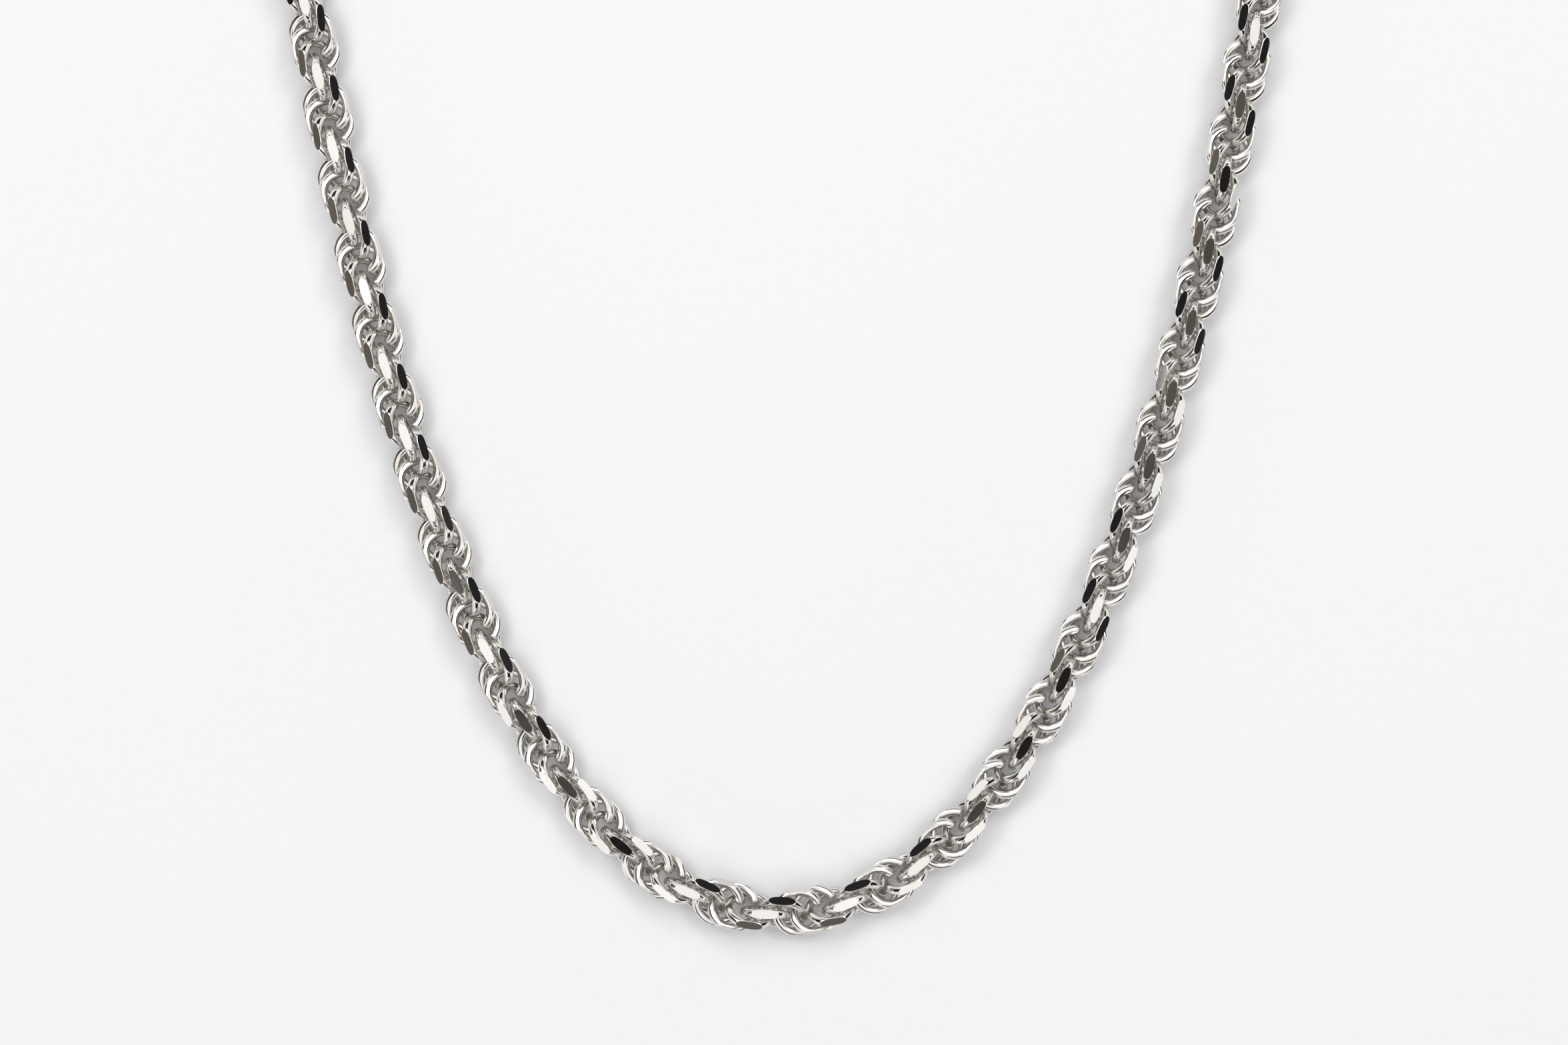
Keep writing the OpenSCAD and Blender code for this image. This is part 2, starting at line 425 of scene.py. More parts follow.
def wire_shape(
    path: WirePath, r: float, cuts: Sequence[Cut], look: WireLook, rng: np.random.Generator
) -> Shape:
    """Sweeps a round wire along a path, with true flats where planes cut it.

    Args:
        path: A fine centre line in the XY plane.
        r: The wire's radius.
        cuts: Planes that each take off one stretch of the wire.
        look: Mesh density and end treatment.
        rng: Source of the small unevenness of soldered ends.

    Returns:
        The wire's shape, drawn in the XY plane.
    """
    total = len(path.centres)
    half, middle = np.zeros(total), np.zeros(total)
    for cut in cuts:
        h, m = cut_arc(path, r, cut)
        half, middle = np.where(h > 0, h, half), np.where(h > 0, m, middle)
    picked = pick_stations(look.stations, total, half, path.closed)
    half, middle = half[picked], middle[picked]
    centres, outward, lengths = path.centres[picked], path.outward[picked], path.lengths[picked]
    whole = path.lengths[-1]
    from_end = np.minimum(lengths, whole - lengths) if not path.closed else np.full(len(picked), whole)
    grip = np.exp(-((from_end / look.end_grip) ** 2)) if look.end_grip else np.zeros(len(picked))

    m = look.sides
    points: list[np.ndarray] = []
    index = np.zeros((len(picked), m + 1), int)
    solder: list[float] = []
    for i in range(len(picked)):
        share = np.arange(m + 1) / m
        psi = middle[i] + half[i] + (2 * math.pi - 2 * half[i]) * share
        shared = half[i] == 0
        used = m if shared else m + 1
        bump = 1 + look.end_swell * grip[i] * rng.uniform(-0.2, 1.0, used)
        if not shared:
            bump[[0, -1]] = 1
        ring = np.zeros((used, 3))
        ring[:, :2] = centres[i] + (r * bump * np.cos(psi[:used]))[:, None] * outward[i]
        ring[:, 2] = r * bump * np.sin(psi[:used])
        start = sum(len(p) for p in points[-1:]) + (index[i - 1, 0] if i else 0)
        index[i, :used] = start + np.arange(used)
        if shared:
            index[i, m] = start
        points.append(ring)
        solder += [float(grip[i])] * used

    faces: list[tuple[int, ...]] = []
    flat: list[bool] = []
    uv: list[tuple[float, float]] = []
    turn_mm = 2 * math.pi * r / MM
    pairs = [(i, i + 1) for i in range(len(picked) - 1)] + ([(len(picked) - 1, 0)] if path.closed else [])
    for a, b in pairs:
        ua = lengths[a] / MM
        ub = lengths[b] / MM if b > a else (whole + np.linalg.norm(centres[b] - centres[a])) / MM
        for j in range(m):
            faces.append((index[a, j], index[a, j + 1], index[b, j + 1], index[b, j]))
            flat.append(False)
            v0, v1 = turn_mm * j / m, turn_mm * (j + 1) / m
            uv += [(ua, v0), (ua, v1), (ub, v1), (ub, v0)]
        if half[a] > 0 or half[b] > 0:
            corners = [(index[a, m], ua, 0.0), (index[a, 0], ua, half[a]), (index[b, 0], ub, half[b]),
                       (index[b, m], ub, 0.0)]
            seen: list[tuple[int, float, float]] = []
            for c in corners:
                if c[0] not in [s[0] for s in seen]:
                    seen.append(c)
            faces.append(tuple(s[0] for s in seen))
            flat.append(True)
            uv += [(s[1], s[2]) for s in seen]
    cloud = np.concatenate(points)
    if not path.closed:
        for end, step in ((0, -1), (len(picked) - 1, 1)):
            ring = list(index[end, :m])
            mean = cloud[ring].mean(0)
            inner = centres[end] - centres[end - step]
            ahead = np.append(inner / np.linalg.norm(inner), 0.0)
            cap = mean + (cloud[ring] - mean) * (1 - look.chamfer) + ahead * r * look.chamfer
            first = len(cloud)
            cloud = np.concatenate([cloud, cap])
            solder += [1.0] * m
            for j in range(m):
                k = (j + 1) % m
                quad = (ring[k], ring[j], first + j, first + k)
                faces.append(quad if step < 0 else quad[::-1])
                flat.append(False)
                uv += [(0.0, 0.0)] * 4
            lid = tuple(range(first, first + m))
            faces.append(lid if step > 0 else lid[::-1])
            flat.append(True)
            uv += [(0.0, 0.0)] * m
    return Shape(cloud, faces, flat, np.array(uv), np.array(solder))


FINE = 1200
LINK_LOOK = WireLook(stations=48, sides=20, end_grip=0.45 * MM, end_swell=0.09)
RING_LOOK = WireLook(stations=96, sides=28)


def link_path(link: int) -> WirePath:
    """The centre line of one link, drawn with its gap towards +X.

    Args:
        link: Number of the link. The two end links are longer, and the last ones on the right are closed.

    Returns:
        A fine path.
    """
    r, gap, shift, extra = LINK.ring_r, LINK.gap_half, LINK.gap_shift, CHAIN.end_extra
    if link == CHAIN.last_link:
        halves = [arc_path(r, -90, 179.9, FINE // 2, extra), arc_path(r, 90, 179.9, FINE // 2)]
        return join_paths(halves, True)
    if link == -CHAIN.last_link:
        parts = [
            arc_path(r, shift + gap, 90 - shift - gap, FINE // 4),
            arc_path(r, 90, 180, FINE // 2, -extra),
            arc_path(r, 270, 90 + shift - gap, FINE // 4),
        ]
        return join_paths(parts, False)
    if link > CHAIN.last_link - CHAIN.soldered_links:
        return arc_path(r, 0, 360, FINE)
    return arc_path(r, shift + gap, 360 - 2 * gap, FINE)


def link_shape(link: int) -> Shape:
    """One link in the chain's own directions, with the small differences that cutting and soldering leave.

    Args:
        link: Number of the link, which also fixes its differences.

    Returns:
        The link, X along the chain and Z up, centred on the chain's axis.
    """
    rng = np.random.default_rng(link + 4000)
    cuts = []
    for side in (-1, 1):
        lean = np.radians(rng.normal(0, 2.6, 2))
        normal = np.array([math.sin(lean[0]), side * 1.0, math.sin(lean[1])])
        normal /= np.linalg.norm(normal)
        depth = LINK.flat_at + rng.uniform(-0.03, 0.0) * MM
        cuts.append(Cut(normal, float(normal[1] * side * depth)))
    shape = wire_shape(link_path(link), LINK.wire / 2, cuts, LINK_LOOK, rng)
    shape.tone = float(rng.uniform())
    tilted = turned(shape.points, "y", -LINK.tilt)
    return shape.moved(leaned(tilted, crown_az(link)))


@dataclass
class Necklace:
    """Builds every piece and puts it on its body."""

    finishes: "Finishes"
    route: Route = field(init=False)

    def __post_init__(self) -> None:
        """Works out where the outline's middle is from the clasp's nose and the catch ring."""
        self.route = Route((0.0, 0.0))
        nose = self._point(CHAIN.last_link, self.eye_x + CLASP.claw_x)
        catch = self._point(-CHAIN.last_link, -self.catch_x)
        mid_x = (nose[0] + CLASP.claw_r + catch[0] - RING.catch_outer / 2) / 2
        mid_y = (nose[1] + CLASP.claw_r - LINK.flat_at) / 2
        self.route = Route((mid_x, mid_y))

    def _point(self, link: int, ahead: float) -> np.ndarray:
        """A point on the axis beyond a link."""
        return self.route.placed(np.zeros((1, 3)), self.route.arc_at(link), ahead)[0]

    @property
    def end_ring_x(self) -> float:
        """Distance of an end ring's centre beyond the end link's."""
        hook = LINK.ring_r + CHAIN.end_extra
        return hook - (LINK.wire + RING.wire) / 2 - RING.play + RING.r

    @property
    def jump_x(self) -> float:
        """Distance of the jump ring's centre beyond the end link's."""
        return self.end_ring_x + 2 * RING.r - RING.wire - RING.play

    @property
    def catch_x(self) -> float:
        """Distance of the catch ring's centre beyond the end link's."""
        return self.end_ring_x + RING.r - (RING.wire + RING.catch_wire) / 2 - RING.play + RING.catch_r

    @property
    def eye_x(self) -> float:
        """Distance of the clasp's eye beyond the end link's centre."""
        return self.jump_x + RING.r - (RING.wire + CLASP.eye_wire) / 2 - RING.play + CLASP.eye_r

    def build(self) -> None:
        """Makes the chain, its rings and its clasp."""
        self._sections()
        self._rings()
        ClaspBuilder(self, self.finishes).build()

    def add(
        self, name: str, shapes: Sequence[Shape], finish: FinishName, body: str, slot: str
    ) -> bpy.types.Object:
        """Makes one object of some shapes, puts it on its body and hides the CAD node of the same name.

        Args:
            name: Name of the CAD node that the object stands for.
            shapes: Shapes in the row frame.
            finish: Finish of the whole object.
            body: CAD body that it rides on.
            slot: Material slot of the record. Not used.

        Returns:
            The object.
        """
        mesh = mesh_of(name, shapes)
        mesh.materials.append(self.finishes.get(finish))
        obj = bpy.data.objects.new(f"{name}_look", mesh)
        bpy.context.scene.collection.objects.link(obj)
        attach(obj, body)
        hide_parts(name)
        LOG.info("%s: %d faces on body %s", obj.name, len(mesh.polygons), body)
        return obj

    def _sections(self) -> None:
        """Makes the chain, one object a section."""
        for n in range(-CHAIN.sections_each_side, CHAIN.sections_each_side + 1):
            side = "left" if n < 0 else "right"
            name = f"chain_{side}_{abs(n):02d}" if n else "chain_middle"
            first = n * CHAIN.links_per_section - CHAIN.half_section
            shapes = []
            for link in range(first, first + CHAIN.links_per_section):
                shape = link_shape(link)
                shapes.append(shape.moved(self.route.placed(shape.points, self.route.arc_at(link))))
            self.add(name, shapes, FinishName.CHAIN, name, "chain_silver")

    def _ring(self, name: str, r: float, wire: float, link: int, ahead: float, azimuth: float) -> None:
        """Makes a closed ring beyond an end link."""
        rng = np.random.default_rng(len(name))
        shape = wire_shape(arc_path(r, 0, 360, FINE), wire / 2, [], RING_LOOK, rng)
        points = self.route.placed(leaned(shape.points, azimuth), self.route.arc_at(link), ahead)
        self.add(name, [shape.moved(points)], FinishName.RING, name, "ring_silver")

    def _rings(self) -> None:
        """Makes the rings, each turned on from the one before it so that the last one lies flat."""
        last = CHAIN.last_link
        to_flat = (90 - crown_az(last)) % 180
        clasp_step = (to_flat + 180) / 3
        catch_step = ((90 - crown_az(-last)) % 180) / 2
        az = crown_az(last)
        self._ring("right_end_ring", RING.r, RING.wire, last, self.end_ring_x, az + clasp_step)
        self._ring("jump_ring", RING.r, RING.wire, last, self.jump_x, az + 2 * clasp_step)
        left_az = crown_az(-last) + catch_step
        self._ring("left_end_ring", RING.r, RING.wire, -last, -self.end_ring_x, left_az)
        self._ring("catch_ring", RING.catch_r, RING.catch_wire, -last, -self.catch_x, 90)


def mesh_of(name: str, shapes: Sequence[Shape]) -> bpy.types.Mesh:
    """Joins shapes into one mesh with smooth wire, crisp flats and the attributes that the finishes read.

    Args:
        name: Name of the mesh.
        shapes: The shapes, in the row frame.

    Returns:
        The mesh. Its attributes are tone and solder on points, and cut on faces.
    """
    points = np.concatenate([s.points for s in shapes])
    faces: list[tuple[int, ...]] = []
    base = 0
    for shape in shapes:
        faces += [tuple(int(c) + base for c in face) for face in shape.faces]
        base += len(shape.points)
    mesh = bpy.data.meshes.new(name)
    mesh.from_pydata(points.tolist(), [], faces, shade_flat=False)
    flat = np.concatenate([np.array(s.flat) for s in shapes])
    mesh.attributes.new("sharp_face", "BOOLEAN", "FACE").data.foreach_set("value", flat)
    mesh.attributes.new("cut", "FLOAT", "FACE").data.foreach_set("value", flat.astype(np.float32))
    solder = np.concatenate([s.solder for s in shapes]).astype(np.float32)
    mesh.attributes.new("solder", "FLOAT", "POINT").data.foreach_set("value", solder)
    tone = np.concatenate([np.full(len(s.points), s.tone) for s in shapes]).astype(np.float32)
    mesh.attributes.new("tone", "FLOAT", "POINT").data.foreach_set("value", tone)
    layer = mesh.uv_layers.new(name="wire")
    uv = np.concatenate([s.uv for s in shapes]).astype(np.float32)
    layer.data.foreach_set("uv", uv.ravel())
    mesh.update()
    return mesh


def arc_points(cx: float, cy: float, r: float, a0: float, a1: float, count: int) -> np.ndarray:
    """Points of an arc from angle a0 to a1, both included."""
    a = np.radians(np.linspace(a0, a1, count))
    return np.stack([cx + r * np.cos(a), cy + r * np.sin(a)], axis=1)


def ease_points(
    a: np.ndarray, a_dir: np.ndarray, b: np.ndarray, b_dir: np.ndarray, count: int
) -> np.ndarray:
    """Points of the cubic curve from a to b that leaves along a_dir and arrives along b_dir."""
    t = np.linspace(0, 1, count + 2)[1:-1, None]
    span = np.linalg.norm(b - a)
    p1, p2 = a + a_dir * span / 3, b - b_dir * span / 3
    return (1 - t) ** 3 * a + 3 * (1 - t) ** 2 * t * p1 + 3 * (1 - t) * t**2 * p2 + t**3 * b


def rounded(outline: np.ndarray, step: float = 0.08 * MM, width: float = 0.2 * MM) -> np.ndarray:
    """Spaces an outline's points evenly and rounds its corners.

    A wave of the outline, of k turns in its length L, is weakened by exp(-(2 pi k w / L)^2 / 2), where w is
    the width.

    Args:
        outline: Closed outline, shape (n, 2).
        step: Distance between points.
        width: Distance that the rounding reaches.

    Returns:
        The even, rounded outline.
    """
    loop = np.vstack([outline, outline[:1]])
    along = np.concatenate([[0.0], np.cumsum(np.linalg.norm(np.diff(loop, axis=0), axis=1))])
    count = int(along[-1] / step)
    at = np.linspace(0, along[-1], count, endpoint=False)
    even = np.interp(at, along, loop[:, 0]) + 1j * np.interp(at, along, loop[:, 1])
    waves = np.fft.fftfreq(count, d=along[-1] / count)
    soft = np.fft.ifft(np.fft.fft(even) * np.exp(-((2 * math.pi * waves * width) ** 2) / 2))
    return np.column_stack([soft.real, soft.imag])


def inset(outline: np.ndarray, distance: float) -> np.ndarray:
    """Moves a counterclockwise outline inwards, and gathers the points of a corner that is too tight."""
    ahead = np.roll(outline, -1, axis=0) - outline
    ahead /= np.maximum(np.linalg.norm(ahead, axis=1), 1e-12)[:, None]
    along = ahead + np.roll(ahead, 1, axis=0)
    along /= np.maximum(np.linalg.norm(along, axis=1), 1e-12)[:, None]
    moved = outline + distance * np.stack([-along[:, 1], along[:, 0]], axis=1)
    if distance <= 0:
        return moved
    gaps = np.linalg.norm(moved[:, None] - outline[None], axis=2).min(axis=1)
    good = np.flatnonzero(gaps > 0.96 * distance)
    steps = np.abs(np.arange(len(outline))[:, None] - good[None])
    nearest = good[np.minimum(steps, len(outline) - steps).argmin(axis=1)]
    return moved[nearest]


def fill_outline(rim: np.ndarray, spacing: float) -> tuple[np.ndarray, list[tuple[int, ...]]]:
    """Fills an outline with triangles of an even size.

    Args:
        rim: Closed counterclockwise outline, shape (n, 2).
        spacing: Distance between the points inside.

    Returns:
        The points inside, and triangles that number the rim's points first and then those inside.
    """
    low, high = rim.min(axis=0), rim.max(axis=0)
    across, up = np.meshgrid(np.arange(low[0], high[0], spacing), np.arange(low[1], high[1], spacing))
    grid = np.column_stack([across.ravel(), up.ravel()])
    a, b = rim, np.roll(rim, -1, axis=0)
    level = (a[:, 1] > grid[:, 1:]) != (b[:, 1] > grid[:, 1:])
    rise = np.where(a[:, 1] == b[:, 1], 1.0, b[:, 1] - a[:, 1])
    crossing = a[:, 0] + (grid[:, 1:] - a[:, 1]) / rise * (b[:, 0] - a[:, 0])
    inside = ((level & (grid[:, :1] < crossing)).sum(axis=1) % 2) == 1
    clear = np.linalg.norm(grid[:, None] - rim[None], axis=2).min(axis=1) > 0.4 * spacing
    grid = grid[inside & clear]
    every = np.concatenate([rim, grid]) / MM
    edges = [(i, (i + 1) % len(rim)) for i in range(len(rim))]
    found = delaunay_2d_cdt([Vector(p) for p in every], edges, [], 1, 1e-5)
    number = [origin[0] if origin else -1 for origin in found[3]]
    faces = [tuple(number[c] for c in face) for face in found[2]]
    return grid, [face for face in faces if min(face) >= 0]


def plate_shape(
    outline: np.ndarray, low: float, high: float, rim_low: float, rim_high: float, dome: float = 0.0
) -> Shape:
    """A plate with rounded rims.

    Args:
        outline: Counterclockwise outline, shape (n, 2).
        low: Height of its underside.
        high: Height of its top.
        rim_low: Radius of the rounding at the underside, 0 for none.
        rim_high: Radius of the rounding at the top, 0 for none.
        dome: Radius of the sphere that the side away from the middle follows, 0 for a flat side.

    Returns:
        The plate.
    """
    levels: list[tuple[float, float]] = []
    steps = 6
    for i in range(steps + 1):
        a = math.radians(90 * i / steps)
        if rim_low > 0 or i == steps:
            levels.append((rim_low * (1 - math.sin(a)), low + rim_low * (1 - math.cos(a))))
    for i in range(steps + 1):
        a = math.radians(90 * i / steps)
        if rim_high > 0 or i == 0:
            levels.append((rim_high * (1 - math.cos(a)), high - rim_high * (1 - math.sin(a))))
    outline = rounded(outline)
    n = len(outline)
    rows = [np.column_stack([inset(outline, d), np.full(n, z)]) for d, z in levels]
    faces: list[tuple[int, ...]] = []
    for k in range(len(rows) - 1):
        for i in range(n):
            j = (i + 1) % n
            faces.append((k * n + i, k * n + j, (k + 1) * n + j, (k + 1) * n + i))
    for row, turned_over in ((0, True), (len(rows) - 1, False)):
        base = sum(len(r) for r in rows)
        inner, triangles = fill_outline(rows[row][:, :2], 0.3 * MM)
        for face in triangles:
            ids = tuple(row * n + c if c < n else base + c - n for c in face)
            faces.append(ids[::-1] if turned_over else ids)
        rows.append(np.column_stack([inner, np.full(len(inner), rows[row][0, 2])]))
    points = np.concatenate(rows)
    if dome:
        near, far = (low, high) if abs(high) > abs(low) else (high, low)
        spread = (points[:, 0] - CLASP.dome_x) ** 2 + points[:, 1] ** 2
        height = math.copysign(1.0, far) * (abs(far) - dome + np.sqrt(dome**2 - spread))
        points[:, 2] = near + (points[:, 2] - near) * (height - near) / (far - near)
    corners = np.concatenate([points[list(f)][:, :2] for f in faces]) / MM
    return Shape(points, faces, [False] * len(faces), corners, np.zeros(len(points)))


@dataclass
class ClaspBuilder:
    """Builds the lobster clasp, drawn with X from its eye to its nose and Z up."""

    necklace: Necklace
    finishes: "Finishes"
    rim: float = 0.62 * MM
    slot_clear: float = 0.12 * MM
    cheek_r: float = 1.35 * MM
    root_r: float = 0.95 * MM
    neck_half: float = 1.1 * MM
    lever_inset: float = 0.1 * MM
    lever_slim: float = 0.3 * MM
    lever_rim: float = 0.25 * MM
    tab_lean: float = 72.0
    tab_half: float = 0.45 * MM
    tab_length: float = 2.9 * MM
    tab_rim: float = 0.2 * MM
    pin_sunk: float = 0.02 * MM
    pin_rim: float = 0.12 * MM
    spring_wire: float = 0.4 * MM
    spring_bend: float = 0.62 * MM

    @property
    def reach(self) -> float:
        """Distance of the lever's tip from its pivot."""
        return CLASP.claw_x + 0.62 * CLASP.claw_r - CLASP.pivot[0]

    def build(self) -> None:
        """Makes the body, the lever, the pin and the spring."""
        body = [self._body_plate(True), self._body_plate(False), self._middle_plate(), self._eye()]
        self._place("clasp_body", body, "clasp", FinishName.CLASP, "clasp_silver")
        self._place("clasp_trigger", self._lever(), "trigger", FinishName.CLASP, "clasp_silver")
        self._place("clasp_pin", [self._pin()], "clasp", FinishName.STEEL, "pin_steel")
        self._place("clasp_spring", [self._spring()], "clasp", FinishName.STEEL, "spring_steel")

    def _place(self, name: str, shapes: list[Shape], body: str, finish: FinishName, slot: str) -> None:
        """Puts shapes drawn at the eye onto the end of the chain."""
        route = self.necklace.route
        s = route.arc_at(CHAIN.last_link)
        put = [shape.moved(route.placed(shape.points, s, self.necklace.eye_x)) for shape in shapes]
        self.necklace.add(name, put, finish, body, slot)

    def _meeting(self, around: float) -> float:
        """Angle at the claw's centre between the pin and where the hole meets a circle round the pin."""
        hole, arm = CLASP.claw_r - CLASP.hook_w, CLASP.claw_r - CLASP.hook_w / 2
        return math.degrees(math.acos((hole**2 + arm**2 - around**2) / (2 * hole * arm)))

    def _outline(self, cheeks: bool) -> np.ndarray:
        """The body's outline, with the cheeks that hold the pin or with the lever's slot in their place."""
        cx, r, hole = CLASP.claw_x, CLASP.claw_r, CLASP.claw_r - CLASP.hook_w
        px, py = CLASP.pivot
        neck_low = np.array([CLASP.eye_r, -self.neck_half])
        shoulder = arc_points(cx, 0, r, 236, 418, 60)
        turn = np.array([-math.sin(math.radians(236)), math.cos(math.radians(236))])
        lower = ease_points(neck_low, np.array([1.0, -0.1]), shoulder[0], turn, 12)
        seat = arc_points(px, py, self.reach + self.slot_clear, 24, -18, 16)
        around = self.cheek_r if cheeks else self.root_r + self.slot_clear
        meets = CLASP.pivot_a + (-1 if cheeks else 1) * self._meeting(around)
        hole_arc = arc_points(cx, 0, hole, -24, meets - 360, 60)
        from_pin = math.degrees(math.atan2(hole_arc[-1, 1] - py, hole_arc[-1, 0] - px))
        back = arc_points(px, py, around, from_pin, 82 if cheeks else -262, 20)
        top = back[-1]
        neck_high = np.array([CLASP.eye_r, self.neck_half])
        leave = np.array([-1.0, -0.1 if cheeks else 0.0])
        upper = ease_points(top, leave, neck_high, np.array([-1.0, -0.1]), 12)
        parts = [neck_low[None], lower, shoulder, seat, hole_arc, back, upper, neck_high[None]]
        return np.concatenate(parts)

    def _body_plate(self, top: bool) -> Shape:
        """The upper or lower third of the body, rounded at its outer rim."""
        inner = CLASP.lever_t / 2 + self.slot_clear
        outer = CLASP.thick / 2
        if top:
            return plate_shape(self._outline(True), inner, outer, 0, self.rim, CLASP.dome_r)
        return plate_shape(self._outline(True), -outer, -inner, self.rim, 0, CLASP.dome_r)

    def _middle_plate(self) -> Shape:
        """The middle third, cut away for the lever."""
        inner = CLASP.lever_t / 2 + self.slot_clear
        return plate_shape(self._outline(False), -inner, inner, 0, 0)

    def _eye(self) -> Shape:
        """The ring that the jump ring passes."""
        path = arc_path(CLASP.eye_r, 0, 360, FINE)
        return wire_shape(path, CLASP.eye_wire / 2, [], RING_LOOK, np.random.default_rng(5))

    def _lever(self) -> list[Shape]:
        """The lever's curved bar and its thumb tab."""
        cx, r = CLASP.claw_x, CLASP.claw_r
        px, py = CLASP.pivot
        outer = r - self.lever_inset
        inner = r - CLASP.hook_w + self.lever_slim
        bar = [
            arc_points(cx, 0, outer, 60, 150, 40),
            arc_points(px, py, self.root_r, 130, 330, 24),
            arc_points(cx, 0, inner, 140, 24, 40),
            arc_points(px, py, self.reach, -2, 24, 8),
        ]
        half, lean = self.tab_half, self.tab_lean
        way = math.radians(lean)
        end = np.array([px, py]) + self.tab_length * np.array([math.cos(way), math.sin(way)])
        tab = [
            arc_points(end[0], end[1], half, lean - 90, lean + 90, 14),
            arc_points(px, py, half, lean + 90, lean + 270, 14),
        ]
        low, high = -CLASP.lever_t / 2, CLASP.lever_t / 2
        return [
            plate_shape(np.concatenate(bar), low, high, self.lever_rim, self.lever_rim),
            plate_shape(np.concatenate(tab), low, high, self.tab_rim, self.tab_rim),
        ]

    def _pin(self) -> Shape:
        """The pivot pin, its ends rounded over."""
        px, py = CLASP.pivot
        outline = arc_points(px, py, CLASP.pin_d / 2, 0, 345, 24)
        reach = CLASP.thick / 2 - self.pin_sunk
        return plate_shape(outline, -reach, reach, self.pin_rim, self.pin_rim)

    def _spring(self) -> Shape:
        """The bow spring in the slot behind the lever."""
        wire = self.spring_wire
        x = CLASP.pivot[0] - self.root_r - self.slot_clear - wire
        bow = arc_path(self.spring_bend, 60, 240, FINE)
        shape = wire_shape(bow, wire / 2, [], LINK_LOOK, np.random.default_rng(6))
        return shape.moved(shape.points + np.array([x, CLASP.pivot[1], 0]))


def paint(code: str) -> tuple[float, float, float, float]:
    """Turns a sRGB hex code into the linear colour that a shader wants."""
    parts = [int(code[i : i + 2], 16) / 255 for i in (1, 3, 5)]
    linear = [c / 12.92 if c <= 0.04045 else ((c + 0.055) / 1.055) ** 2.4 for c in parts]
    return (*linear, 1.0)


def add_node(
    tree: bpy.types.NodeTree, kind: str, inputs: dict[str | int, object] | None = None, **settings: object
) -> bpy.types.Node:
    """Adds a shader node with its settings and inputs.

    Args:
        tree: Tree that gets the node.
        kind: The node's type name.
        inputs: A value or a socket for each input, by the input's name or number.
        **settings: Properties of the node, which are set first.

    Returns:
        The node.
    """
    node = tree.nodes.new(kind)
    for key, value in settings.items():
        setattr(node, key, value)
    for key, value in (inputs or {}).items():
        if isinstance(value, bpy.types.NodeSocket):
            tree.links.new(value, node.inputs[key])
        else:
            node.inputs[key].default_value = value
    return node


@dataclass(frozen=True)
class Finish:
    """What a surface is made of and how it was worked."""

    def shader(self, tree: bpy.types.NodeTree) -> bpy.types.NodeSocket:
        """Builds the finish's nodes and returns the shader's output."""
        raise NotImplementedError


